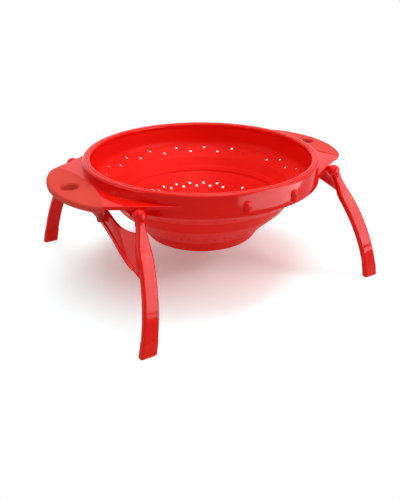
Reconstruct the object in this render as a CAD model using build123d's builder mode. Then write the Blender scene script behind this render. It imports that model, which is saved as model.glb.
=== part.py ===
from build123d import *
import math
import os

# A collapsible colander: a stiff rim with two handles holds a soft bowl, on two hinged leg pairs.
# Millimetres. The origin is on the ground under the middle of the bowl, +Z up.
# The handles lie along X, and each leg pair turns about an axis along Y under its handle.

# Rim: the radius of its bead, with insets from there, and depths below its top
rim_top = 127.2
rim_radius = 125
lip_width = 8
bead_depth = 5
bead_round = 2.4
groove_inset = 4.3
groove_width = 0.8
groove_depth = 0.6
skirt_flare = 1.2
skirt_depth = 18
skirt_wall = 3.2
clamp_drop = 5

# Bowl, from its clamped flange down to its floor, with insets from the rim's radius
lip_overhang = 0.3
collar_thickness = 2.1
flange_inset = 3.4
flange_thickness = 4.5
shoulder_inset = 0.8
shoulder_drop = 2.4
wall_start_inset = 4.2
wall_span = 2.2
bowl_depth = 88.9
ledge_width = 0.9
ledge_drop = 0.2
floor_thickness = 3
foot_round = 3

# Corners of the bowl's outside, as shares of the rim's radius and of the bowl's depth
middle_top_shares = (0.824, 0.4308)
middle_foot_shares = (0.7448, 0.5906)
base_top_shares = (0.5536, 0.847)
base_foot_share = 0.4864

# Two ledges on the inside of the middle hoop, as the same kind of shares
upper_ledge_shares = (0.7536, 0.532)
lower_ledge_shares = (0.728, 0.5793)

# Strainer holes: rows as shares of each wall's height, and on the floor as counts and shares of its radius
hole_radius = 1.6
upper_hole_count = 20
upper_hole_shares = (0.333, 0.612)
upper_hole_phase = 2.3
lower_hole_count = 29
lower_hole_shares = (0.531, 0.654)
lower_hole_phase = 6.4
floor_hole_counts = (6, 12, 18)
floor_hole_shares = (0.2475, 0.495, 0.7426)

# Handles, as drawn from above, with the seam between the stiff wing and the soft grip
handle_drop = 10.2
handle_reach = 40.4
wing_thickness = 3.4
wing_inset = 0.3
wing_edge_round = 0.9
seam_reach = 13.9
seam_share = 0.5
seam_rise = 11
grip_arc_share = 0.8104
grip_corner_round = 18
grip_proud = 0.3
grip_thickness = 6.6
grip_edge_round = 2.4
core_inset = 2.6
core_lap = 3
core_thickness = 2.6
core_drop = 2.2
hang_hole_reach = 22.4
hang_hole_radius = 8.6
hang_hole_round = 2.5

# Leg frames: hinge axis, stance and the arc that follows the rim when folded
hinge_inset = 10.5
hinge_drop = 17.2
knuckle_outset = 5.8
leg_spread = 22.5
leg_gap = 4.2
leg_depth = 6.5
leg_spare = 5
leg_top_half = 4.3
leg_middle_half = 7.3
leg_foot_half = 7.9
leg_shoulder_u = 9
leg_middle_u = 27
leg_edge_round = 2.2
knuckle_radius = 6.5
boss_radius = 3.3
boss_length = 9.7
neck_half = 3.5
neck_start = 3
neck_bend_round = 24
flank_bend_round = 40
neck_collar_radius = 5.2
neck_collar_start = 5.8
neck_collar_width = 1.8

# Web that joins the two legs of a side, in the leg frame's plane and as a shallow dish round the rim's axis
web_top_steps = (8.2, 9, 12.6, 14.7, 13.2)
web_top_shares = (0, 0.521, 0.7205, 0.93, 1.061)
web_join_u = 17.5
web_tail_u = 47
web_lap = 1.8
web_end_u = 42
web_end_inset = 6.7
web_middle_u = 20.8
web_thickness = 3
web_dish_steps = ((5.5, 0.8), (1.4, 3.8), (-8.2, 9.3), (-28.4, 10.4), (-48.4, 12.6))
web_lip_width = 3.4
web_lip_height = 1.1

# Foot caps, hinge pins, brackets, stop pegs and leg catches
cap_height = 14.6
cap_proud = 0.35
cap_floor = 4
cap_skin = 1.5
cap_edge_round = 1
fit_gap = 0.1
pin_radius = 2
pin_head_radius = 3.2
pin_head_height = 1.4
pin_depth = 2.5
running_gap = 0.05
bracket_radius = 5
bracket_width = 8
bracket_gap = 0.4
stop_reach = 7
stop_length = 5.4
stop_width = 5.2
stop_share = 0.32
stop_drop = 17
stop_corner_round = 1.7
stop_end_round = 1.3
stop_plug_radius = 1.8
stop_plug_height = 1.6
catch_turns = (90, 270)
catch_angle = 12.3
catch_radius = 4
catch_proud = 3
catch_height = 10.6

# Radii that follow
lip_radius = rim_radius - lip_width
skirt_radius = rim_radius + skirt_flare
flange_radius = rim_radius - flange_inset
wall_radius = lip_radius + lip_overhang
collar_radius = wall_radius + collar_thickness
shoulder_radius = rim_radius - shoulder_inset
base_foot_radius = rim_radius * base_foot_share

# Heights that follow
clamp_depth = skirt_depth + clamp_drop
bead_floor_z = rim_top - bead_depth
skirt_floor_z = rim_top - skirt_depth
clamp_floor_z = rim_top - clamp_depth
clamp_top_z = bead_floor_z - flange_thickness
wing_top_z = rim_top - handle_drop
wing_floor_z = wing_top_z - wing_thickness
grip_top_z = wing_top_z + grip_proud
grip_floor_z = grip_top_z - grip_thickness
core_top_z = wing_top_z - core_drop
core_floor_z = core_top_z - core_thickness
hinge_z = rim_top - hinge_drop
stop_low_z = hinge_z - stop_drop

# Corners of the bowl's section that follow, as radius and depth
wall_start = (rim_radius - wall_start_inset, clamp_depth + shoulder_drop)
start_span = wall_start[0] - wall_radius
middle_top, middle_foot, base_top, upper_ledge, lower_ledge = (
    (rim_radius * radius_share, bowl_depth * depth_share)
    for radius_share, depth_share in (
        middle_top_shares,
        middle_foot_shares,
        base_top_shares,
        upper_ledge_shares,
        lower_ledge_shares,
    )
)

os.makedirs("parts", exist_ok=True)

# One plane for each side, with its x running outwards along the handle
side_planes = {
    "left": Plane(origin=(0, 0, 0), x_dir=(-1, 0, 0), z_dir=(0, 0, 1)),
    "right": Plane(origin=(0, 0, 0), x_dir=(1, 0, 0), z_dir=(0, 0, 1)),
}
# The two ends of a side's hinge axis, as signs of that plane's y
end_signs = {
    "left": {"front": 1, "back": -1},
    "right": {"front": -1, "back": 1},
}


def save(piece, name):
    """Label a finished piece and write it under its name."""
    piece.part.label = name
    export_step(piece.part, f"parts/{name}.step")


def at(radius, depth):
    """A point of a round section, from its radius and its depth below the rim's top."""
    return (radius, rim_top - depth)


def inside(corner):
    """The inner face's point beside a corner of the bowl's outside."""
    return at(corner[0] - wall_span, corner[1])


def upright(side, y):
    """A side's upright plane at y, seen along the hinge axis: its x runs outwards and its y runs up."""
    plane = side_planes[side]
    return Plane(origin=plane.from_local_coords((0, y, 0)), x_dir=plane.x_dir, z_dir=-plane.y_dir)


# Handle seen from above: straight edges that touch the rim, a round end, and an arc as the seam
wing_reach = rim_radius - wing_inset
seam_x = rim_radius + seam_reach
seam_y = rim_radius * seam_share
hang_hole_x = rim_radius + hang_hole_reach
grip_arc_radius = rim_radius * grip_arc_share
tip_x = rim_radius + handle_reach
grip_arc_centre = tip_x - grip_arc_radius
touch_angle = math.atan2(seam_y, seam_x) + math.acos(wing_reach / math.hypot(seam_x, seam_y))
touch_x = wing_reach * math.cos(touch_angle)
touch_y = wing_reach * math.sin(touch_angle)
edge_run_x = math.sin(touch_angle)
edge_run_y = -math.cos(touch_angle)
seam_lead = (seam_x - grip_arc_centre) * edge_run_x + seam_y * edge_run_y
seam_spare = (seam_x - grip_arc_centre) ** 2 + seam_y**2 - grip_arc_radius**2
corner_run = math.sqrt(seam_lead**2 - seam_spare) - seam_lead
corner_x = seam_x + corner_run * edge_run_x
corner_y = seam_y + corner_run * edge_run_y
seam_radius = (seam_y**2 + seam_rise**2) / (2 * seam_rise)
seam_centre_x = seam_x - seam_rise + seam_radius

# Hinges, legs and what stands beside them, where the handles and the rim put them
hinge_x = rim_radius - hinge_inset
hinge_y = (wing_reach + knuckle_outset - hinge_x * math.cos(touch_angle)) / math.sin(touch_angle)
boss_inner_y = hinge_y - boss_length
bracket_outer_y = boss_inner_y - bracket_gap
bracket_inner_y = bracket_outer_y - bracket_width
lean = math.atan2(leg_spread, hinge_z)
leg_length = hinge_z / math.cos(lean)
leg_inner_radius = skirt_radius + leg_gap
leg_outer_radius = leg_inner_radius + leg_depth
end_turn = math.acos((hinge_x - leg_length - leg_spare) / leg_inner_radius)
stop_x = rim_radius + stop_reach + stop_length / 2
stop_y = rim_radius * stop_share

with BuildSketch() as handle_face:
    with BuildLine():
        Line((touch_x, touch_y), (corner_x, corner_y))
        ThreePointArc((corner_x, corner_y), (tip_x, 0), (corner_x, -corner_y))
        Line((corner_x, -corner_y), (touch_x, -touch_y))
        Line((touch_x, -touch_y), (touch_x, touch_y))
    make_face()
    fillet(handle_face.vertices().group_by(Axis.X)[-1], grip_corner_round)

with BuildSketch() as wing_face:
    add(handle_face.sketch)
    with Locations((seam_centre_x, 0)):
        Circle(seam_radius, mode=Mode.SUBTRACT)
    Circle(skirt_radius - skirt_wall, mode=Mode.SUBTRACT)

with BuildSketch() as grip_face:
    add(handle_face.sketch)
    with Locations((seam_centre_x, 0)):
        Circle(seam_radius, mode=Mode.INTERSECT)
    with Locations((hang_hole_x, 0)):
        Circle(hang_hole_radius, mode=Mode.SUBTRACT)

with BuildSketch() as core_face:
    add(handle_face.sketch)
    offset(amount=-core_inset, kind=Kind.INTERSECTION)
    with Locations((seam_centre_x, 0)):
        Circle(seam_radius + core_lap, mode=Mode.INTERSECT)
    with Locations((hang_hole_x, 0)):
        Circle(hang_hole_radius + core_inset, mode=Mode.SUBTRACT)
    Circle(skirt_radius - skirt_wall, mode=Mode.SUBTRACT)

# Leg catch: a bullet-shaped knob, drawn on the skirt at the end of the X axis
with BuildPart() as catch:
    with Locations((skirt_radius + catch_proud - catch_radius, 0, skirt_floor_z)):
        Cylinder(catch_radius, catch_height - catch_radius, align=(Align.CENTER, Align.CENTER, Align.MIN))
        with Locations((0, 0, catch_height - catch_radius)):
            Sphere(catch_radius)
    Cylinder(skirt_radius - skirt_wall / 2, 2 * rim_top, mode=Mode.SUBTRACT)

# Rim frame: bead and skirt as one ring, with the wings, grip cores, hinge brackets and leg catches
with BuildPart() as rim_frame:
    with BuildSketch(Plane.XZ) as rim_section:
        with BuildLine():
            Polyline(
                (lip_radius, bead_floor_z),
                (lip_radius, rim_top),
                (rim_radius, rim_top),
                (skirt_radius, skirt_floor_z),
                (skirt_radius - skirt_wall, skirt_floor_z),
                (flange_radius + fit_gap, bead_floor_z),
                close=True,
            )
        make_face()
        fillet(rim_section.vertices().group_by(Axis.Y)[-1], bead_round)
        with Locations((rim_radius - groove_inset, rim_top)):
            Rectangle(groove_width, 2 * groove_depth, mode=Mode.SUBTRACT)
    revolve(axis=Axis.Z)
    for side_plane in side_planes.values():
        with BuildSketch(side_plane.offset(wing_floor_z)):
            add(wing_face.sketch)
        extrude(amount=wing_thickness)
        with BuildSketch(side_plane.offset(core_floor_z)):
            add(core_face.sketch)
        extrude(amount=core_thickness)
    wing_edges = rim_frame.edges().filter_by(GeomType.LINE).filter_by(
        lambda edge: edge.length > wing_thickness and abs(edge.center().Z - wing_top_z) < fit_gap
    )
    fillet(wing_edges, wing_edge_round)
    for side, signs in end_signs.items():
        for sign in signs.values():
            with BuildSketch(upright(side, sign * bracket_inner_y)):
                with Locations((hinge_x, hinge_z)):
                    Circle(bracket_radius)
                    Rectangle(2 * bracket_radius, wing_floor_z - hinge_z, align=(Align.CENTER, Align.MIN))
                    Circle(pin_radius, mode=Mode.SUBTRACT)
            extrude(amount=-sign * (bracket_outer_y - bracket_inner_y))
            with BuildSketch(side_planes[side].offset(core_floor_z)):
                with Locations((stop_x, sign * stop_y)):
                    Circle(stop_plug_radius)
            extrude(amount=stop_plug_height, mode=Mode.SUBTRACT)
    for middle in catch_turns:
        for angle in (middle - catch_angle, middle + catch_angle):
            with PolarLocations(0, 1, angle):
                add(catch.part)
save(rim_frame, "rim_frame")

# Clamp ring: a sleeve that holds the bowl's flange up against the bead, with a band below the skirt
with BuildPart() as clamp_ring:
    with BuildSketch(Plane.XZ):
        with BuildLine():
            Polyline(
                (collar_radius + fit_gap, clamp_floor_z),
                (collar_radius + fit_gap, clamp_top_z),
                (flange_radius, clamp_top_z),
                (flange_radius, skirt_floor_z),
                (skirt_radius, skirt_floor_z),
                (skirt_radius, clamp_floor_z),
                close=True,
            )
        make_face()
    revolve(axis=Axis.Z)
    fillet(clamp_ring.edges().group_by(Axis.Z)[0].sort_by(SortBy.RADIUS)[-1], bead_round / 2)
save(clamp_ring, "clamp_ring")

# Bowl collar: the stiff top of the soft bowl, with the flange that the clamp ring holds
with BuildPart() as bowl_collar:
    with BuildSketch(Plane.XZ):
        with BuildLine():
            Polyline(
                at(wall_radius, bead_depth),
                at(flange_radius, bead_depth),
                at(flange_radius, bead_depth + flange_thickness),
                at(collar_radius, bead_depth + flange_thickness),
                at(collar_radius, clamp_depth),
                at(shoulder_radius, clamp_depth),
                at(*wall_start),
                at(wall_radius, wall_start[1]),
                close=True,
            )
        make_face()
    revolve(axis=Axis.Z)
save(bowl_collar, "bowl_collar")


def wall_hole_places(top, bottom, shares, count, phase):
    """Places of staggered hole rows on a conical wall between its outer edges, square to its surface."""
    slope = (bottom[0] - top[0]) / (bottom[1] - top[1])
    places = []
    for row, share in enumerate(shares):
        depth = top[1] + share * (bottom[1] - top[1])
        radius = top[0] + slope * (depth - top[1]) - wall_span / 2
        for step in range(count):
            turn = math.radians(phase + (step + row / 2) * 360 / count)
            across = (math.cos(turn), math.sin(turn))
            place = Plane(
                origin=(radius * across[0], radius * across[1], rim_top - depth),
                z_dir=(across[0], across[1], slope),
            )
            places.append(place.location)
    return places


def soft_wall(top, bottom, top_span, shares, count, phase):
    """A conical soft wall between two depths, with its strainer holes."""
    with BuildPart() as wall:
        with BuildSketch(Plane.XZ):
            with BuildLine():
                Polyline(
                    at(top[0] - top_span, top[1]),
                    at(*top),
                    at(*bottom),
                    inside(bottom),
                    close=True,
                )
            make_face()
        revolve(axis=Axis.Z)
        with Locations(*wall_hole_places(top, bottom, shares, count, phase)):
            Cylinder(hole_radius, 3 * start_span, mode=Mode.SUBTRACT)
    return wall


# Upper wall: the soft cone below the collar, which turns inside out as the bowl collapses
bowl_upper_wall = soft_wall(
    wall_start, middle_top, start_span, upper_hole_shares, upper_hole_count, upper_hole_phase
)
save(bowl_upper_wall, "bowl_upper_wall")

# Middle ring: the thicker hoop between the two soft walls, with a low band inside between two ledges
with BuildPart() as bowl_middle_ring:
    with BuildSketch(Plane.XZ):
        with BuildLine():
            Polyline(
                inside(middle_top),
                at(*middle_top),
                at(*middle_foot),
                inside(middle_foot),
                at(lower_ledge[0] - ledge_width, lower_ledge[1] + ledge_drop),
                at(upper_ledge[0] - ledge_width, upper_ledge[1] + ledge_drop),
                at(*upper_ledge),
                close=True,
            )
        make_face()
    revolve(axis=Axis.Z)
save(bowl_middle_ring, "bowl_middle_ring")

# Lower wall: the second soft cone
bowl_lower_wall = soft_wall(
    middle_foot, base_top, wall_span, lower_hole_shares, lower_hole_count, lower_hole_phase
)
save(bowl_lower_wall, "bowl_lower_wall")

# Base: the stiff bottom of the bowl, a low cup with holes in its floor
with BuildPart() as bowl_base:
    with BuildSketch(Plane.XZ) as base_section:
        with BuildLine():
            Polyline(
                inside(base_top),
                at(*base_top),
                at(base_foot_radius, bowl_depth),
                at(0, bowl_depth),
                at(0, bowl_depth - floor_thickness),
                at(base_foot_radius - floor_thickness, bowl_depth - floor_thickness),
                close=True,
            )
        make_face()
        fillet(base_section.vertices().group_by(Axis.Y)[0].sort_by(Axis.X)[-1], foot_round)
    revolve(axis=Axis.Z)
    with Locations((0, 0, rim_top - bowl_depth + floor_thickness / 2)):
        Cylinder(hole_radius, 2 * floor_thickness, mode=Mode.SUBTRACT)
        for count, share in zip(floor_hole_counts, floor_hole_shares):
            with PolarLocations(share * base_foot_radius, count):
                Cylinder(hole_radius, 2 * floor_thickness, mode=Mode.SUBTRACT)
save(bowl_base, "bowl_base")

# Grips: soft covers over the handles' cores, each with a hole to hang the colander by
hang_hole_length = 2 * math.pi * hang_hole_radius
for side, side_plane in side_planes.items():
    with BuildPart() as grip:
        with BuildSketch(side_plane.offset(grip_floor_z)):
            add(grip_face.sketch)
        extrude(amount=grip_thickness)
        flat_edges = grip.edges().filter_by(Axis.Z, reverse=True)
        mouths = flat_edges.filter_by(lambda edge: abs(edge.length - hang_hole_length) < fit_gap)
        outer_edges = flat_edges.filter_by(lambda edge: abs(edge.center().X) > seam_x + fit_gap)
        fillet(ShapeList(edge for edge in outer_edges if edge not in mouths), grip_edge_round)
        fillet(mouths.sort_by(Axis.Z)[-1], hang_hole_round)
        with BuildSketch(side_plane.offset(core_floor_z)):
            add(core_face.sketch)
        extrude(amount=core_thickness, mode=Mode.SUBTRACT)
        with BuildSketch(side_plane.offset(grip_floor_z)):
            with Locations((stop_x, stop_y), (stop_x, -stop_y)):
                Circle(stop_plug_radius)
        extrude(amount=core_floor_z - grip_floor_z, mode=Mode.SUBTRACT)
    save(grip, f"{side}_grip")


def leg_plane(side):
    """The plane of a leg frame at its hinge axis: x runs down the legs, z points outwards."""
    plane = side_planes[side]
    outwards = plane.x_dir
    down = outwards * math.sin(lean) - plane.z_dir * math.cos(lean)
    normal = outwards * math.cos(lean) + plane.z_dir * math.sin(lean)
    return Plane(origin=plane.from_local_coords((hinge_x, 0, hinge_z)), x_dir=down, z_dir=normal)


def beside_neck(across, sign):
    """The start of the neck's edge, beside its middle line, which runs along the wing's edge."""
    u = neck_start * edge_run_x + across * edge_run_y
    y = hinge_y - neck_start * edge_run_y + across * edge_run_x
    return (u, sign * y)


def round_the_rim(radius, turn, sign):
    """A point on an arc round the folded rim's axis, in the leg frame's plane."""
    return (hinge_x - radius * math.cos(turn), sign * radius * math.sin(turn))


def leg_bar(side, sign, grow):
    """One leg from its neck past the ground, grown on all its long faces."""
    plane = leg_plane(side)
    flank = Plane(origin=plane.origin, x_dir=plane.x_dir, z_dir=-plane.y_dir)
    rails = ((-neck_half - grow, leg_inner_radius - grow), (neck_half + grow, leg_outer_radius + grow))
    meets = []
    with BuildPart() as bar:
        with BuildSketch(plane) as outline:
            with BuildLine():
                for across, radius in rails:
                    turn = touch_angle - math.acos((wing_reach + knuckle_outset + across) / radius)
                    meet = round_the_rim(radius, turn, sign)
                    middle = round_the_rim(radius, (turn + end_turn) / 2, sign)
                    Line(beside_neck(across, sign), meet)
                    ThreePointArc(meet, middle, round_the_rim(radius, end_turn, sign))
                    meets.append(meet)
                Line(beside_neck(-neck_half - grow, sign), beside_neck(neck_half + grow, sign))
                Line(
                    round_the_rim(leg_inner_radius - grow, end_turn, sign),
                    round_the_rim(leg_outer_radius + grow, end_turn, sign),
                )
            make_face()
            kinks = outline.vertices().filter_by(
                lambda vertex: any(math.dist((vertex.X, vertex.Y), meet) < fit_gap for meet in meets)
            )
            fillet(kinks, neck_bend_round)
        extrude(amount=leg_foot_half + grow, both=True)
        with BuildSketch(flank) as flank_outline:
            with BuildLine():
                Polyline(
                    (0, -leg_top_half),
                    (0, leg_top_half),
                    (leg_shoulder_u, leg_top_half),
                    (leg_middle_u, leg_middle_half + grow),
                    (leg_length + leg_spare, leg_foot_half + grow),
                    (leg_length + leg_spare, -leg_foot_half - grow),
                    (leg_middle_u, -leg_middle_half - grow),
                    (leg_shoulder_u, -leg_top_half),
                    close=True,
                )
            make_face()
            bends = flank_outline.vertices().filter_by(
                lambda vertex: fit_gap < vertex.X < leg_middle_u + fit_gap
            )
            fillet(bends, flank_bend_round)
        extrude(amount=leg_outer_radius + grow, both=True, mode=Mode.INTERSECT)
        long_edges = bar.edges().filter_by(
            lambda edge: abs((edge.end_point() - edge.start_point()).dot(plane.x_dir)) > fit_gap
            and neck_start + fit_gap < plane.to_local_coords(edge.center()).X < leg_length
        )
        fillet(long_edges, leg_edge_round + grow)
    return bar


def between(piece, low, high):
    """The part of a piece between two heights."""
    with BuildPart() as slice_of_it:
        add(piece.part)
        split(bisect_by=Plane.XY.offset(low), keep=Keep.TOP)
        split(bisect_by=Plane.XY.offset(high), keep=Keep.BOTTOM)
    return slice_of_it


def web_slab(side, thickness, outline):
    """A slab of the shallow dish round the folded rim's axis, cut to an outline in the leg frame's plane."""
    plane = leg_plane(side)
    middle = plane.from_local_coords((hinge_x, 0, 0))
    dish_plane = Plane(origin=middle, x_dir=-plane.x_dir, z_dir=plane.y_dir)
    dish = [(leg_inner_radius + step, height) for step, height in web_dish_steps]
    with BuildPart() as slab:
        with BuildSketch(dish_plane):
            with BuildLine():
                Spline(*dish)
                Spline(*((radius, height + thickness) for radius, height in dish))
                for radius, height in (dish[0], dish[-1]):
                    Line((radius, height), (radius, height + thickness))
            make_face()
        revolve(axis=Axis(middle, plane.z_dir))
        with BuildSketch(plane):
            add(outline.sketch)
        extrude(amount=hinge_x, mode=Mode.INTERSECT)
    return slab


def beside_leg(u):
    """How far from the middle the web ends at u, a little inside the leg."""
    return math.sqrt(leg_inner_radius**2 - (hinge_x - u) ** 2) + web_lap


# Web outlines: a curved top edge that dips beside the legs, an arched lower edge and a lip along that edge
web_top = [(step, hinge_y * share) for step, share in zip(web_top_steps, web_top_shares)]
web_join_y = beside_leg(web_join_u)
web_tail_y = beside_leg(web_tail_u)
web_end_y = beside_leg(web_end_u) - web_end_inset

with BuildSketch() as web_outline:
    with BuildLine():
        Spline(*((u, -y) for u, y in reversed(web_top[1:])), *web_top)
        for sign in (1, -1):
            Polyline(
                (web_end_u, sign * web_end_y),
                (web_tail_u, sign * web_tail_y),
                (web_join_u, sign * web_join_y),
                (web_top[-1][0], sign * web_top[-1][1]),
            )
        ThreePointArc((web_end_u, -web_end_y), (web_middle_u, 0), (web_end_u, web_end_y))
    make_face()

with BuildSketch() as lip_outline:
    with BuildLine():
        ThreePointArc((web_end_u, -web_end_y), (web_middle_u, 0), (web_end_u, web_end_y))
        Line((web_end_u, web_end_y), (web_end_u - web_lip_width, web_end_y))
        ThreePointArc(
            (web_end_u - web_lip_width, web_end_y),
            (web_middle_u - web_lip_width, 0),
            (web_end_u - web_lip_width, -web_end_y),
        )
        Line((web_end_u - web_lip_width, -web_end_y), (web_end_u, -web_end_y))
    make_face()

# Leg frames: two legs and their web as one moulding, hung on two knuckles
for side, signs in end_signs.items():
    plane = leg_plane(side)
    web = web_slab(side, web_thickness, web_outline)
    lip = web_slab(side, web_thickness + web_lip_height, lip_outline)
    pieces = [web, lip]
    for sign in signs.values():
        pieces.append(between(leg_bar(side, sign, 0), cap_height, rim_top))
        pieces.append(between(leg_bar(side, sign, -cap_skin), cap_floor, cap_height))
    with BuildPart() as leg_frame:
        for piece in pieces:
            add(piece.part)
        for sign in signs.values():
            knuckle = plane.from_local_coords((0, sign * hinge_y, 0))
            neck_way = plane.x_dir * edge_run_x - plane.y_dir * sign * edge_run_y
            with Locations(knuckle):
                Sphere(knuckle_radius)
            with BuildSketch(Plane(origin=knuckle + neck_way * neck_collar_start, z_dir=neck_way)):
                Circle(neck_collar_radius)
            extrude(amount=neck_collar_width)
            with BuildSketch(upright(side, sign * boss_inner_y)):
                with Locations((hinge_x, hinge_z)):
                    Circle(boss_radius)
            extrude(amount=-sign * (hinge_y - boss_inner_y))
        for sign in signs.values():
            with BuildSketch(upright(side, sign * boss_inner_y)):
                with Locations((hinge_x, hinge_z)):
                    Circle(pin_radius + running_gap)
            extrude(amount=-sign * (hinge_y + pin_depth - boss_inner_y), mode=Mode.SUBTRACT)
    save(leg_frame, f"{side}_leg_frame")

# Foot caps: soft covers over the legs' ends, flat where they stand
for side, signs in end_signs.items():
    for end, sign in signs.items():
        shell = between(leg_bar(side, sign, cap_proud), 0, cap_height)
        socket = between(leg_bar(side, sign, fit_gap - cap_skin), cap_floor - fit_gap, rim_top)
        with BuildPart() as foot_cap:
            add(shell.part)
            fillet(foot_cap.edges().group_by(Axis.Z)[0], cap_edge_round)
            add(socket.part, mode=Mode.SUBTRACT)
        save(foot_cap, f"{side}_{end}_foot_cap")

# Hinge pins: pressed through the brackets, running in the legs' knuckles
for side, signs in end_signs.items():
    for end, sign in signs.items():
        with BuildPart() as hinge_pin:
            with BuildSketch(upright(side, sign * (bracket_inner_y - pin_head_height))):
                with Locations((hinge_x, hinge_z)):
                    Circle(pin_head_radius)
            extrude(amount=-sign * pin_head_height)
            with BuildSketch(upright(side, sign * bracket_inner_y)):
                with Locations((hinge_x, hinge_z)):
                    Circle(pin_radius)
            extrude(amount=-sign * (hinge_y + pin_depth - fit_gap - bracket_inner_y))
        save(hinge_pin, f"{side}_{end}_hinge_pin")

# Stop pegs: plugged into the handles from below, they hold the open legs at their lean
for side, signs in end_signs.items():
    for end, sign in signs.items():
        with BuildPart() as stop_peg:
            with BuildSketch(side_planes[side].offset(stop_low_z)):
                with Locations((stop_x, sign * stop_y)):
                    RectangleRounded(stop_length, stop_width, stop_corner_round)
            extrude(amount=grip_floor_z - stop_low_z)
            fillet(stop_peg.edges().group_by(Axis.Z)[0], stop_end_round)
            with BuildSketch(side_planes[side].offset(grip_floor_z)):
                with Locations((stop_x, sign * stop_y)):
                    Circle(stop_plug_radius)
            extrude(amount=core_floor_z + stop_plug_height - grip_floor_z)
        save(stop_peg, f"{side}_{end}_stop_peg")
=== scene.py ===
import math
import bpy
import bmesh
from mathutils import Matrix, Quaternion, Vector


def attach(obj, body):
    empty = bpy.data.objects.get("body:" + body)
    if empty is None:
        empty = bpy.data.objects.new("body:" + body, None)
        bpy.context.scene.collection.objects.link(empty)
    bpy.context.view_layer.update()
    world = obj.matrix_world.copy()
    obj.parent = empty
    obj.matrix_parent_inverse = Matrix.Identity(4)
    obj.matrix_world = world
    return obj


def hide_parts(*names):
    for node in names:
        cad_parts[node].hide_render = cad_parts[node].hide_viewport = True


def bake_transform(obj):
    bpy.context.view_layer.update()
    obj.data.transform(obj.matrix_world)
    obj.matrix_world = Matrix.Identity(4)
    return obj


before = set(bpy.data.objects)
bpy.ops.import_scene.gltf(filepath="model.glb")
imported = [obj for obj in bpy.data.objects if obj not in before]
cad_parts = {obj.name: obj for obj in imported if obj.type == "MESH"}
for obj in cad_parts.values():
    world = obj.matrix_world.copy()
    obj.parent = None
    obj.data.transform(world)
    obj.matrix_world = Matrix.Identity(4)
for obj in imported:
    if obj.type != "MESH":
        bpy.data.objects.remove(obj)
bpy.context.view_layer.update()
print("frame loaded:", len(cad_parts), "nodes")

mm = 0.001
rimTop = 127.2  # the rim's top above the ground, in millimetres


def addObject(name, data):
    thing = bpy.data.objects.new(name, data)
    bpy.context.scene.collection.objects.link(thing)
    return thing


def addNode(tree, kind, values=None, **fields):
    # a new node with its own fields set, and the values of its sockets
    node = tree.nodes.new(kind)
    for field, value in fields.items():
        setattr(node, field, value)
    for socket, value in (values or {}).items():
        node.inputs[socket].default_value = value
    return node


# the photograph's view: metres, degrees, and millimetres for lens and sensor;
# with lookTurn 0 the camera looks along +Y, and with lookDown 0 it is level
cameraSettings = {
    "place": (-0.3018, -0.4911, 0.3093),
    "lookTurn": -31.474,
    "lookDown": 27.54,
    "lens": 40.04,
    "sensor": 36,
    "nearest": 0.02,
    "farthest": 20,
}


def makeCamera():
    data = bpy.data.cameras.new("photoCamera")
    data.sensor_width = cameraSettings["sensor"]
    data.lens = cameraSettings["lens"]
    data.clip_start = cameraSettings["nearest"]
    data.clip_end = cameraSettings["farthest"]
    camera = addObject("photoCamera", data)
    camera.location = cameraSettings["place"]
    camera.rotation_euler = (
        math.radians(90 - cameraSettings["lookDown"]),
        0,
        math.radians(cameraSettings["lookTurn"]),
    )
    bpy.context.scene.camera = camera


# soft lights that light the part: metres and watts
lightSettings = {
    "topBox": {
        "place": (0.24, 0.08, 1.25),
        "aim": (0, 0, 0.08),
        "size": (0.8, 0.8),
        "power": 7.1,
    },
    "rightBox": {
        "place": (0.95, -0.75, 0.8),
        "aim": (0, 0, 0.08),
        "size": (0.5, 0.6),
        "power": 5,
    },
}

# bright cards that only show as reflections; a turn is about the card's own middle, in degrees
cardSettings = {
    "floorCard": {
        "place": (0.345, -0.525, 0.004),
        "aim": (0.345, -0.525, 1),
        "size": (0.4, 0.64),
        "turn": 56,
        "power": 6.6,
    },
    "frontCard": {
        "place": (0.447, -0.783, 0.42),
        "aim": (0, -0.12, 0.42),
        "size": (0.6, 0.78),
        "power": 14,
    },
    "leftCard": {
        "place": (-0.8, 0.15, 0.42),
        "aim": (0, 0, 0.08),
        "size": (0.5, 0.4),
        "power": 2.2,
    },
    "overCard": {
        "place": (-0.1, -0.4, 1.1),
        "aim": (0, 0, 0.1),
        "size": (0.6, 0.5),
        "power": 3.8,
    },
}


def makeSoftBox(name, settings, onlyReflected=False):
    # an area light that the camera doesn't see; onlyReflected leaves matt surfaces unlit by it
    data = bpy.data.lights.new(name, "AREA")
    data.shape = "RECTANGLE"
    data.size, data.size_y = settings["size"]
    data.energy = settings["power"]
    box = addObject(name, data)
    box.visible_diffuse = not onlyReflected
    box.visible_camera = False
    box.location = settings["place"]
    aim = Vector(settings["aim"]) - box.location
    turn = Quaternion((0, 0, 1), math.radians(settings.get("turn", 0)))
    box.rotation_euler = (aim.to_track_quat("-Z", "Y") @ turn).to_euler()


def seenByCamera(tree):
    # 1 where the camera, a reflection or clear material looks, else 0
    path = addNode(tree, "ShaderNodeLightPath")
    either = addNode(tree, "ShaderNodeMath", operation="MAXIMUM")
    anyOf = addNode(tree, "ShaderNodeMath", operation="MAXIMUM")
    tree.links.new(path.outputs["Is Camera Ray"], either.inputs[0])
    tree.links.new(path.outputs["Is Glossy Ray"], either.inputs[1])
    tree.links.new(either.outputs[0], anyOf.inputs[0])
    tree.links.new(path.outputs["Is Transmission Ray"], anyOf.inputs[1])
    return anyOf.outputs[0]


# light from the sky: its full level starts at zenithHeight, where 0 is level and 1 straight up
skySettings = {
    "horizonLevel": 0.19,
    "zenithLevel": 0.8,
    "zenithHeight": 0.8,
}


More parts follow.
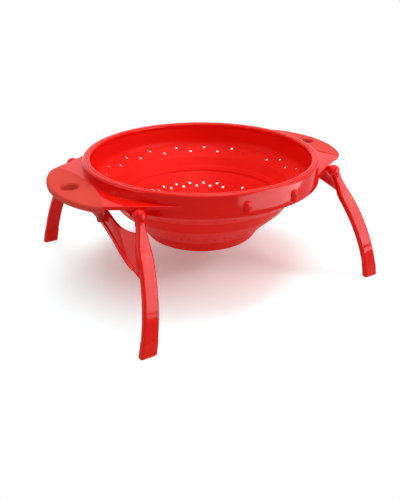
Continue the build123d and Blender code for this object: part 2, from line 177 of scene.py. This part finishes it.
def makeWorld():
    # brighter overhead than at the horizon as a light, and plain white wherever it is seen
    world = bpy.data.worlds.new("softSky")
    world.use_nodes = True
    tree = world.node_tree
    background = tree.nodes["Background"]
    background.inputs["Color"].default_value = (1, 1, 1, 1)
    way = addNode(tree, "ShaderNodeTexCoord")
    height = addNode(tree, "ShaderNodeSeparateXYZ")
    level = addNode(
        tree,
        "ShaderNodeMapRange",
        {
            "From Max": skySettings["zenithHeight"],
            "To Min": skySettings["horizonLevel"],
            "To Max": skySettings["zenithLevel"],
        },
    )
    shown = addNode(tree, "ShaderNodeMix", {"B": 1}, data_type="FLOAT")  # full strength where seen
    tree.links.new(way.outputs["Generated"], height.inputs[0])
    tree.links.new(height.outputs["Z"], level.inputs["Value"])
    tree.links.new(seenByCamera(tree), shown.inputs["Factor"])
    tree.links.new(level.outputs["Result"], shown.inputs["A"])
    tree.links.new(shown.outputs["Result"], background.inputs["Strength"])
    bpy.context.scene.world = world


# in metres; colour is what the floor throws back on the part, shownColour what is seen of it,
# and from fadeFrom to fadeTo away from the middle it turns plain white
floorSettings = {
    "half": 4,
    "colour": (0.8, 0.79, 0.79, 1),
    "shownColour": (1.29, 1.6, 1.6, 1),
    "fadeFrom": 0.09,
    "fadeTo": 0.24,
}


def makeFloor():
    half = floorSettings["half"]
    mesh = bpy.data.meshes.new("floor")
    corners = [(-half, -half, 0), (half, -half, 0), (half, half, 0), (-half, half, 0)]
    mesh.from_pydata(corners, [], [(0, 1, 2, 3)])
    floor = addObject("floor", mesh)
    material = bpy.data.materials.new("paleFloor")
    material.use_nodes = True
    tree = material.node_tree
    tree.nodes.remove(tree.nodes["Principled BSDF"])
    seen = seenByCamera(tree)
    tone = addNode(tree, "ShaderNodeMix", data_type="RGBA")
    tone.inputs["A"].default_value = floorSettings["colour"]
    tone.inputs["B"].default_value = floorSettings["shownColour"]
    paint = addNode(tree, "ShaderNodeBsdfDiffuse")
    tree.links.new(seen, tone.inputs["Factor"])
    tree.links.new(tone.outputs["Result"], paint.inputs["Color"])
    glow = addNode(tree, "ShaderNodeEmission", {"Color": (1, 1, 1, 1), "Strength": 1})
    mix = addNode(tree, "ShaderNodeMixShader")
    place = addNode(tree, "ShaderNodeTexCoord")
    away = addNode(tree, "ShaderNodeVectorMath", operation="LENGTH")
    fade = addNode(
        tree,
        "ShaderNodeMapRange",
        {"From Min": floorSettings["fadeFrom"], "From Max": floorSettings["fadeTo"]},
        interpolation_type="SMOOTHSTEP",
    )
    both = addNode(tree, "ShaderNodeMath", operation="MULTIPLY")
    tree.links.new(place.outputs["Object"], away.inputs[0])
    tree.links.new(away.outputs["Value"], fade.inputs["Value"])
    tree.links.new(fade.outputs["Result"], both.inputs[0])
    tree.links.new(seen, both.inputs[1])
    tree.links.new(both.outputs[0], mix.inputs["Fac"])
    tree.links.new(paint.outputs[0], mix.inputs[1])
    tree.links.new(glow.outputs[0], mix.inputs[2])
    tree.links.new(mix.outputs[0], tree.nodes["Material Output"].inputs["Surface"])
    mesh.materials.append(material)


makeCamera()
for boxName, box in lightSettings.items():
    makeSoftBox(boxName, box)
for cardName, card in cardSettings.items():
    makeSoftBox(cardName, card, onlyReflected=True)
makeWorld()
makeFloor()
bpy.context.scene.view_settings.view_transform = "Standard"
print("camera, lights and floor made")


# scales are per metre, depths in metres; roughness goes from the first value to the second
glossSettings = {
    "colour": (0.84, 0.006, 0.002, 1),
    "deepColour": (0.78, 0.004, 0.0015, 1),
    "mottleScale": 22,
    "roughness": (0.07, 0.12),
    "hazeScale": 70,
    "waveScale": 38,
    "waveDepth": 0.00006,
    "grainScale": 1400,
    "grainDepth": 0.000004,
    "specular": 0.12,
}

gripSettings = {
    "colour": (0.69, 0.06, 0.042, 1),
    "deepColour": (0.63, 0.047, 0.033, 1),
    "mottleScale": 30,
    "roughness": (0.5, 0.62),
    "hazeScale": 60,
    "waveScale": 45,
    "waveDepth": 0.00004,
    "grainScale": 1900,
    "grainDepth": 0.00004,
    "specular": 0.05,
    "sheen": 0.01,
    "sheenRoughness": 0.45,
}

# the foot caps are the grips' soft stuff in the legs' red
capSettings = {
    **gripSettings,
    "colour": (0.82, 0.02, 0.009, 1),
    "deepColour": (0.76, 0.015, 0.007, 1),
    "roughness": (0.4, 0.5),
    "specular": 0.08,
}

siliconeSettings = {
    "colour": (0.86, 0.012, 0.007, 1),
    "deepColour": (0.82, 0.009, 0.005, 1),
    "mottleScale": 16,
    "roughness": (0.34, 0.46),
    "hazeScale": 45,
    "waveScale": 30,
    "waveDepth": 0.00008,
    "grainScale": 1100,
    "grainDepth": 0.000012,
    "specular": 0.05,
    "subsurface": 0.1,
    "subsurfaceScale": 0.004,
}

pinSettings = {
    "colour": (0.6, 0.6, 0.61, 1),
    "deepColour": (0.5, 0.5, 0.52, 1),
    "mottleScale": 120,
    "roughness": (0.24, 0.4),
    "hazeScale": 300,
    "waveScale": 200,
    "waveDepth": 0.00001,
    "grainScale": 2600,
    "grainDepth": 0.000006,
    "metallic": 1,
}


def makeFinish(name, settings):
    material = bpy.data.materials.new(name)
    material.use_nodes = True
    tree = material.node_tree
    links = tree.links
    surface = tree.nodes["Principled BSDF"]
    place = addNode(tree, "ShaderNodeTexCoord").outputs["Object"]
    usualNoise = {"From Min": 0.3, "From Max": 0.7}  # a noise seldom leaves this range

    # two close shades that drift over the piece, as colour does in a moulding
    mottle = addNode(tree, "ShaderNodeTexNoise", {"Scale": settings["mottleScale"], "Detail": 3})
    shade = addNode(tree, "ShaderNodeMix", data_type="RGBA")
    shade.inputs["A"].default_value = settings["deepColour"]
    shade.inputs["B"].default_value = settings["colour"]
    spread = addNode(tree, "ShaderNodeMapRange", usualNoise)
    links.new(place, mottle.inputs["Vector"])
    links.new(mottle.outputs["Fac"], spread.inputs["Value"])
    links.new(spread.outputs["Result"], shade.inputs["Factor"])
    links.new(shade.outputs["Result"], surface.inputs["Base Color"])

    # haze: the gloss varies a little from place to place
    low, high = settings["roughness"]
    hazeValues = {"Scale": settings["hazeScale"], "Detail": 5, "Roughness": 0.6}
    haze = addNode(tree, "ShaderNodeTexNoise", hazeValues)
    hazeRange = addNode(tree, "ShaderNodeMapRange", {**usualNoise, "To Min": low, "To Max": high})
    links.new(place, haze.inputs["Vector"])
    links.new(haze.outputs["Fac"], hazeRange.inputs["Value"])
    links.new(hazeRange.outputs["Result"], surface.inputs["Roughness"])

    # slow waves of the mould's surface, and its fine grain on top
    wave = addNode(tree, "ShaderNodeTexNoise", {"Scale": settings["waveScale"], "Detail": 1})
    waveBump = addNode(tree, "ShaderNodeBump", {"Strength": 1, "Distance": settings["waveDepth"]})
    grain = addNode(tree, "ShaderNodeTexNoise", {"Scale": settings["grainScale"], "Detail": 2})
    grainBump = addNode(tree, "ShaderNodeBump", {"Strength": 1, "Distance": settings["grainDepth"]})
    links.new(place, wave.inputs["Vector"])
    links.new(place, grain.inputs["Vector"])
    links.new(wave.outputs["Fac"], waveBump.inputs["Height"])
    links.new(grain.outputs["Fac"], grainBump.inputs["Height"])
    links.new(waveBump.outputs["Normal"], grainBump.inputs["Normal"])
    links.new(grainBump.outputs["Normal"], surface.inputs["Normal"])

    # what is the same all over the piece goes straight on the shader's sockets
    socketOf = {
        "metallic": "Metallic",
        "specular": "Specular IOR Level",
        "sheen": "Sheen Weight",
        "sheenRoughness": "Sheen Roughness",
        "subsurface": "Subsurface Weight",
        "subsurfaceScale": "Subsurface Scale",
    }
    for key, socket in socketOf.items():
        if key in settings:
            surface.inputs[socket].default_value = settings[key]
    return material


glossRed = makeFinish("glossRedPlastic", glossSettings)
gripRed = makeFinish("softGripRed", gripSettings)
capRed = makeFinish("mattCapRed", capSettings)
siliconeRed = makeFinish("satinRedSilicone", siliconeSettings)
pinSteel = makeFinish("brushedPinSteel", pinSettings)

sides = ("left", "right")
ends = ("front", "back")
finishOfNode = {"rim_frame": glossRed, "clamp_ring": glossRed}
for side in sides:
    finishOfNode[side + "_leg_frame"] = glossRed
    finishOfNode[side + "_grip"] = gripRed
    for end in ends:
        finishOfNode[f"{side}_{end}_foot_cap"] = capRed
        finishOfNode[f"{side}_{end}_stop_peg"] = gripRed
        finishOfNode[f"{side}_{end}_hinge_pin"] = pinSteel
for nodeName, finish in finishOfNode.items():
    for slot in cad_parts[nodeName].material_slots:
        slot.material = finish
print("finishes made:", len(finishOfNode), "nodes dressed")


# sections in millimetres, as closed loops of (radius, depth below the rim's top, corner round);
# a corner takes at most cornerShare of the run before and after it
bowlSettings = {
    "segments": 240,
    "cornerSteps": 6,
    "cornerShare": 0.48,
    "runLength": 2,  # about how far apart the points of a long run are
    "upperSection": [
        (117.3, 5, 0.3),
        (121.6, 5, 0.4),
        (121.6, 9.5, 0.4),
        (119.4, 9.5, 0),
        (119.4, 23, 0),
        (124.2, 23, 0.5),
        (120.8, 25.4, 8),
        (103, 38.3, 0),
        (100.8, 38.3, 0),
        (117.3, 25.4, 12),
    ],
    "middleSection": [
        (100.8, 38.3, 0),
        (103, 38.3, 0),
        (93.1, 52.5, 1.2),
        (69.2, 75.3, 0),
        (67, 75.3, 0),
        (90.9, 52.5, 0.5),
        (90.1, 51.7, 0.4),
        (93.3, 47.5, 0.4),
        (94.2, 47.3, 0.5),
    ],
    "baseSection": [
        (67, 75.3, 0),
        (69.2, 75.3, 0),
        (60.8, 88.9, 3),
        (0, 88.9, 0),
        (0, 85.9, 0),
        (57.8, 85.9, 2.5),
    ],
}


# in millimetres: walls as (radius, depth) at their outer edges, with the distances of their faces
# from a hole's middle, outside and inside
holeSettings = {
    "radius": 1.6,
    "mouthRound": 0.4,
    "mouthSteps": 4,
    "mouthSink": 0.02,  # how far under the wall's face a mouth's widest point is
    "overhang": 1.5,  # how far a cutter goes on past the wall's faces
    "facets": 20,
    "middleInset": 1.1,  # how much nearer the axis than the outer edge a hole's middle is
    "upperWall": {"top": (120.8, 25.4), "bottom": (103, 38.3), "faces": (0.64, 1.05)},
    "upperRows": [
        {"share": 0.333, "count": 20, "firstAngle": 2.3},
        {"share": 0.612, "count": 20, "firstAngle": 11.3},
    ],
    "lowerWall": {"top": (93.1, 52.5), "bottom": (69.2, 75.3), "faces": (0.76, 0.76)},
    "lowerRows": [
        {"share": 0.531, "count": 29, "firstAngle": 6.4},
        {"share": 0.654, "count": 29, "firstAngle": 12.607},
    ],
    "floorFaces": (1.5, 1.5),
    "floorDepth": 87.4,
    "floorRows": [
        {"radius": 0, "count": 1},
        {"radius": 15.05, "count": 6},
        {"radius": 30.1, "count": 12},
        {"radius": 45.15, "count": 18},
    ],
}


def roundedLoop(section):
    # a closed loop with its corners rounded and its long runs divided, as (radius, height)
    steps, runLength = bowlSettings["cornerSteps"], bowlSettings["runLength"]
    cornerShare = bowlSettings["cornerShare"]
    points = [Vector((radius, rimTop - depth)) for radius, depth, _ in section]
    loop = []
    for index, point in enumerate(points):
        cornerRound = section[index][2]
        before = points[index - 1] - point
        after = points[(index + 1) % len(points)] - point
        if cornerRound:
            half = before.angle(after) / 2
            reach = min(
                cornerRound / math.tan(half),
                cornerShare * before.length,
                cornerShare * after.length,
            )
            start = point + before.normalized() * reach
            stop = point + after.normalized() * reach
            for step in range(steps + 1):
                share = step / steps
                rest = 1 - share
                loop.append(start * rest**2 + point * 2 * share * rest + stop * share**2)
        else:
            loop.append(point)
    divided = []
    for index, point in enumerate(loop):
        following = loop[(index + 1) % len(loop)]
        count = max(1, round((following - point).length / runLength))
        onAxis = point.x == 0 and following.x == 0
        for step in range(1 if onAxis else count):
            divided.append(point.lerp(following, step / count))
    return divided


polesWithin = 0.001  # a section's points this near the axis, in millimetres, are poles


def turnedPiece(name, loop, segments):
    # spins a closed section round the upright axis; points on the axis become poles
    turns = [2 * math.pi * step / segments for step in range(segments)]
    shape = bmesh.new()
    rings = []
    for radius, height in loop:
        if radius < polesWithin:
            rings.append([shape.verts.new((0, 0, height * mm))] * segments)
            continue
        ring = []
        for turn in turns:
            x, y = radius * mm * math.cos(turn), radius * mm * math.sin(turn)
            ring.append(shape.verts.new((x, y, height * mm)))
        rings.append(ring)
    for index, ring in enumerate(rings):
        following = rings[(index + 1) % len(rings)]
        for step in range(segments):
            nextStep = (step + 1) % segments
            corners = [ring[step], ring[nextStep], following[nextStep], following[step]]
            corners = list(dict.fromkeys(corners))  # at a pole two of them are one
            if len(corners) > 2:
                shape.faces.new(corners)
    bmesh.ops.recalc_face_normals(shape, faces=shape.faces)
    mesh = bpy.data.meshes.new(name)
    shape.to_mesh(mesh)
    shape.free()
    return addObject(name, mesh)


def makeHoleCutter(faces):
    # a spool along Z: straight inside the wall, flaring at both faces of it
    radius, mouth = holeSettings["radius"], holeSettings["mouthRound"]
    steps, sink = holeSettings["mouthSteps"], holeSettings["mouthSink"]
    profile = []
    for face, way in zip(faces, (1, -1)):
        outside = face + holeSettings["overhang"]
        side = [(0, outside), (radius + mouth, outside)]
        for step in range(steps + 1):
            turn = math.pi / 2 * step / steps
            height = face - mouth * (1 - math.cos(turn)) - sink
            side.append((radius + mouth - mouth * math.sin(turn), height))
        profile += [(across, way * height) for across, height in side[::way]]
    return turnedPiece("holeCutter", profile, holeSettings["facets"])


def makeHoleTree():
    # one ring of strainer holes, cut square to a cone
    tree = bpy.data.node_groups.new("strainerHoleRing", "GeometryNodeTree")
    sockets = {}
    tree.interface.new_socket("Geometry", in_out="INPUT", socket_type="NodeSocketGeometry")
    for label, kind in (
        ("Hole Cutter", "NodeSocketObject"),
        ("Hole Count", "NodeSocketInt"),
        ("Ring Radius", "NodeSocketFloat"),
        ("Ring Height", "NodeSocketFloat"),
        ("First Angle", "NodeSocketFloat"),
        ("Wall Slope", "NodeSocketFloat"),
        ("Finish", "NodeSocketMaterial"),
    ):
        socket = tree.interface.new_socket(label, in_out="INPUT", socket_type=kind)
        sockets[label] = socket.identifier
    tree.interface.new_socket("Geometry", in_out="OUTPUT", socket_type="NodeSocketGeometry")
    links = tree.links
    given = addNode(tree, "NodeGroupInput")
    ring = addNode(tree, "GeometryNodeMeshLine", mode="OFFSET")
    step = addNode(tree, "GeometryNodeInputIndex")
    share = addNode(tree, "ShaderNodeMath", operation="DIVIDE")
    turn = addNode(tree, "ShaderNodeMath", {1: 2 * math.pi}, operation="MULTIPLY_ADD")  # full turn
    across = addNode(tree, "ShaderNodeMath", operation="COSINE")
    along = addNode(tree, "ShaderNodeMath", operation="SINE")
    square = addNode(tree, "ShaderNodeCombineXYZ")
    outwards = addNode(tree, "ShaderNodeVectorMath", {1: (1, 1, 0)}, operation="MULTIPLY")  # level
    scaled = addNode(tree, "ShaderNodeVectorMath", operation="SCALE")
    lift = addNode(tree, "ShaderNodeCombineXYZ")
    placed = addNode(tree, "ShaderNodeVectorMath", operation="ADD")
    setPlace = addNode(tree, "GeometryNodeSetPosition")
    cutter = addNode(tree, "GeometryNodeObjectInfo")
    aim = addNode(tree, "FunctionNodeAlignRotationToVector", axis="Z")
    spread = addNode(tree, "GeometryNodeInstanceOnPoints")
    realCutters = addNode(tree, "GeometryNodeRealizeInstances")
    cut = addNode(tree, "GeometryNodeMeshBoolean", operation="DIFFERENCE", solver="EXACT")
    real = addNode(tree, "GeometryNodeRealizeInstances")
    dress = addNode(tree, "GeometryNodeSetMaterial")
    result = addNode(tree, "NodeGroupOutput")
    links.new(given.outputs["Hole Count"], ring.inputs["Count"])
    links.new(step.outputs[0], share.inputs[0])
    links.new(given.outputs["Hole Count"], share.inputs[1])
    links.new(share.outputs[0], turn.inputs[0])
    links.new(given.outputs["First Angle"], turn.inputs[2])
    links.new(turn.outputs[0], across.inputs[0])
    links.new(turn.outputs[0], along.inputs[0])
    links.new(across.outputs[0], square.inputs["X"])
    links.new(along.outputs[0], square.inputs["Y"])
    links.new(given.outputs["Wall Slope"], square.inputs["Z"])
    links.new(square.outputs[0], outwards.inputs[0])
    links.new(outwards.outputs[0], scaled.inputs[0])
    links.new(given.outputs["Ring Radius"], scaled.inputs["Scale"])
    links.new(given.outputs["Ring Height"], lift.inputs["Z"])
    links.new(scaled.outputs[0], placed.inputs[0])
    links.new(lift.outputs[0], placed.inputs[1])
    links.new(ring.outputs[0], setPlace.inputs["Geometry"])
    links.new(placed.outputs[0], setPlace.inputs["Position"])
    links.new(square.outputs[0], aim.inputs["Vector"])
    links.new(given.outputs["Hole Cutter"], cutter.inputs["Object"])
    links.new(setPlace.outputs[0], spread.inputs["Points"])
    links.new(cutter.outputs["Geometry"], spread.inputs["Instance"])
    links.new(aim.outputs[0], spread.inputs["Rotation"])
    links.new(spread.outputs[0], realCutters.inputs[0])
    links.new(given.outputs["Geometry"], cut.inputs["Mesh 1"])
    links.new(realCutters.outputs[0], cut.inputs["Mesh 2"])
    links.new(cut.outputs["Mesh"], real.inputs[0])
    links.new(real.outputs[0], dress.inputs["Geometry"])
    links.new(given.outputs["Finish"], dress.inputs["Material"])
    links.new(dress.outputs[0], result.inputs[0])
    return tree, sockets


def addHoleRing(piece, cutter, count, radius, height, firstAngle, slope):
    modifier = piece.modifiers.new("holes", "NODES")
    modifier.node_group = holeTree
    modifier[holeSockets["Hole Cutter"]] = cutter
    modifier[holeSockets["Hole Count"]] = count
    modifier[holeSockets["Ring Radius"]] = radius * mm
    modifier[holeSockets["Ring Height"]] = height * mm
    modifier[holeSockets["First Angle"]] = math.radians(firstAngle)
    modifier[holeSockets["Wall Slope"]] = slope
    modifier[holeSockets["Finish"]] = siliconeRed


def addWallHoles(piece, wall, rows):
    # rows as shares of the wall's height, between its outer edges
    top, bottom = wall["top"], wall["bottom"]
    cutter = makeHoleCutter(wall["faces"])
    slope = (bottom[0] - top[0]) / (bottom[1] - top[1])
    for row in rows:
        depth = top[1] + row["share"] * (bottom[1] - top[1])
        radius = top[0] + slope * (depth - top[1]) - holeSettings["middleInset"]
        addHoleRing(piece, cutter, row["count"], radius, rimTop - depth, row["firstAngle"], slope)
    return cutter


def makePlain(piece, sharpAngle=35):
    # turns the modifiers' result into a plain mesh with smooth faces and crisp edges
    evaluated = piece.evaluated_get(bpy.context.evaluated_depsgraph_get())
    mesh = bpy.data.meshes.new_from_object(evaluated)
    piece.modifiers.clear()
    piece.data = mesh
    mesh.shade_smooth()
    mesh.set_sharp_from_angle(angle=math.radians(sharpAngle))
    print(piece.name, len(mesh.polygons), "faces")


def bowlPiece(name, sectionName):
    return turnedPiece(name, roundedLoop(bowlSettings[sectionName]), bowlSettings["segments"])


holeTree, holeSockets = makeHoleTree()
upperWall, lowerWall = holeSettings["upperWall"], holeSettings["lowerWall"]
bowlUpper = bowlPiece("bowlUpperCone", "upperSection")
cutters = [addWallHoles(bowlUpper, upperWall, holeSettings["upperRows"])]
makePlain(bowlUpper)
bowlMiddle = bowlPiece("bowlMiddleCone", "middleSection")
cutters.append(addWallHoles(bowlMiddle, lowerWall, holeSettings["lowerRows"]))
makePlain(bowlMiddle)
bowlBase = bowlPiece("bowlBaseCup", "baseSection")
floorCutter = makeHoleCutter(holeSettings["floorFaces"])
floorHeight = rimTop - holeSettings["floorDepth"]
for row in holeSettings["floorRows"]:
    addHoleRing(bowlBase, floorCutter, row["count"], row["radius"], floorHeight, 0, 0)
cutters.append(floorCutter)
makePlain(bowlBase)
for cutter in cutters:
    bpy.data.objects.remove(cutter)

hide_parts("bowl_collar", "bowl_upper_wall")
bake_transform(bowlUpper)
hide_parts("bowl_middle_ring", "bowl_lower_wall")
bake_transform(bowlMiddle)
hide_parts("bowl_base")
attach(bowlBase, "bowl_bottom")
print("soft bowl made")


# fillets where the webs meet the legs, in millimetres along a leg frame's own leaning plane
filletSettings = {
    "hinge": (114.5, 110),  # out from the middle and up
    "leanRun": (22.5, 110),  # how far out and down the frame leans
    "webSlope": -0.45,  # of the top where it leaves the web
    "sink": 0.12,  # how far the top's edges lie under the faces
    "topSteps": 8,
    # how far down from the hinge, the web's edge and height, the leg's edge and height
    "stations": [
        (14.7, 86.4, 6.2, 90.8, 4.9),
        (15.6, 86, 7.25, 91.6, 5.4),
        (17.5, 87.1, 7.8, 92.9, 5.7),
        (20, 88.7, 8.3, 94.5, 6.1),
        (23, 90.7, 8.85, 96.5, 6.6),
        (26, 92.7, 9.25, 98.5, 7.1),
        (30, 96.3, 9.3, 102.1, 7.3),
        (34, 99.5, 9.35, 105.3, 7.3),
        (38, 102.4, 9.5, 108.2, 7.3),
        (41, 104.9, 9.4, 110.2, 7.3),
        (43, 107, 9.1, 111.5, 7.3),
        (44.6, 109, 8.4, 112, 7.1),
    ],
    # share of the width, the face it lies under, how far under it
    "underside": [(0.8, "leg", 1.2), (0.68, "web", 4), (0.4, "web", 3.4), (0.12, "web", 1.6)],
}


def filletSection(webSide, webHeight, legSide, legHeight):
    # closed loop: the top leaves the web at webSlope and ends level on the leg, then underneath
    width = legSide - webSide
    heights = {"web": webHeight - filletSettings["sink"], "leg": legHeight - filletSettings["sink"]}
    loop = []
    for step in range(filletSettings["topSteps"] + 1):
        share = step / filletSettings["topSteps"]
        height = (
            heights["web"] * (2 * share**3 - 3 * share**2 + 1)
            + heights["leg"] * (3 * share**2 - 2 * share**3)
            + filletSettings["webSlope"] * width * (share**3 - 2 * share**2 + share)
        )
        loop.append((webSide + width * share, height))
    for share, face, under in filletSettings["underside"]:
        loop.append((webSide + width * share, heights[face] - under))
    return loop


def filletPiece(side):
    # the two fillets of one leg frame, each a closed bar through its stations
    outwards = -1 if side == "left" else 1
    hingeX, hingeZ = filletSettings["hinge"]
    lean = math.atan2(*filletSettings["leanRun"])
    stations = filletSettings["stations"]
    points, faces = [], []
    for way in (-1, 1):
        first = len(points)
        for down, *section in stations:
            loop = filletSection(*section)
            for across, height in loop:
                points.append((
                    outwards * (hingeX + down * math.sin(lean) + height * math.cos(lean)) * mm,
                    way * across * mm,
                    (hingeZ - down * math.cos(lean) + height * math.sin(lean)) * mm,
                ))
        size = len(loop)
        last = first + (len(stations) - 1) * size
        for row in range(first, last, size):
            for step in range(size):
                here, beside = row + step, row + (step + 1) % size
                faces.append((here, beside, beside + size, here + size))
        faces.append(tuple(range(first, first + size)))
        faces.append(tuple(range(last, last + size)))
    mesh = bpy.data.meshes.new(side + "WebFillets")
    mesh.from_pydata(points, [], faces)
    shape = bmesh.new()
    shape.from_mesh(mesh)
    bmesh.ops.recalc_face_normals(shape, faces=shape.faces)
    shape.to_mesh(mesh)
    shape.free()
    mesh.materials.append(glossRed)
    piece = addObject(side + "WebFillets", mesh)
    makePlain(piece)
    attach(piece, side + "_legs")


for side in sides:
    filletPiece(side)
print("fillets made")
